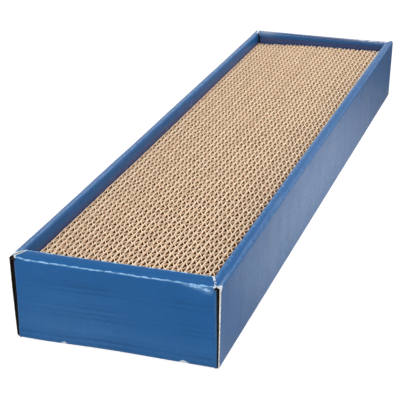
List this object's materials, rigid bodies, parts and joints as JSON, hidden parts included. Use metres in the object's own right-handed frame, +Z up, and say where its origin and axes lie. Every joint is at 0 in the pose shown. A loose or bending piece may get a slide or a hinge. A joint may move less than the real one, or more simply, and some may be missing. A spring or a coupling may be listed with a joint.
{
  "type": "cardboard cat scratcher",
  "caption": "Long open tray folded from glossy blue board, with double walls and mitred ridges, holding a loose lift-out pad of upright corrugated strips for a cat to scratch.",
  "frame": {"origin": "centre of the tray's footprint, on the surface that it rests on", "axes": "+X across the tray, to the right as seen from its front end; +Y along the tray, from the front end to the back end; +Z up"},
  "size_m": [0.1238, 0.48, 0.0495],
  "materials": {
    "printed_board": "gloss",
    "kraft_strips": "matte"
  },
  "bodies": {
    "tray": {"base_panel": "printed_board", "left_outer_wall": "printed_board", "left_ridge": "printed_board", "left_inner_wall": "printed_board", "right_outer_wall": "printed_board", "right_ridge": "printed_board", "right_inner_wall": "printed_board", "front_outer_wall": "printed_board", "front_ridge": "printed_board", "front_inner_wall": "printed_board", "back_outer_wall": "printed_board", "back_ridge": "printed_board", "back_inner_wall": "printed_board", "front_left_corner_flap": "printed_board", "front_right_corner_flap": "printed_board", "back_left_corner_flap": "printed_board", "back_right_corner_flap": "printed_board"},
    "pad": {"strip_01": "kraft_strips", "strip_02": "kraft_strips", "strip_03": "kraft_strips", "strip_04": "kraft_strips", "strip_05": "kraft_strips", "strip_06": "kraft_strips", "strip_07": "kraft_strips", "strip_08": "kraft_strips", "strip_09": "kraft_strips", "strip_10": "kraft_strips", "strip_11": "kraft_strips", "strip_12": "kraft_strips", "strip_13": "kraft_strips", "strip_14": "kraft_strips", "strip_15": "kraft_strips", "strip_16": "kraft_strips", "strip_17": "kraft_strips", "strip_18": "kraft_strips", "strip_19": "kraft_strips", "strip_20": "kraft_strips", "strip_21": "kraft_strips", "strip_22": "kraft_strips", "strip_23": "kraft_strips", "strip_24": "kraft_strips", "strip_25": "kraft_strips", "strip_26": "kraft_strips", "strip_27": "kraft_strips", "strip_28": "kraft_strips", "strip_29": "kraft_strips", "strip_30": "kraft_strips"}
  },
  "joints": [
    {"name": "pad_lift", "type": "slide", "parent": "tray", "child": "pad", "axis": [0, 0, 1], "range_m": [0, 0.06]}
  ]
}
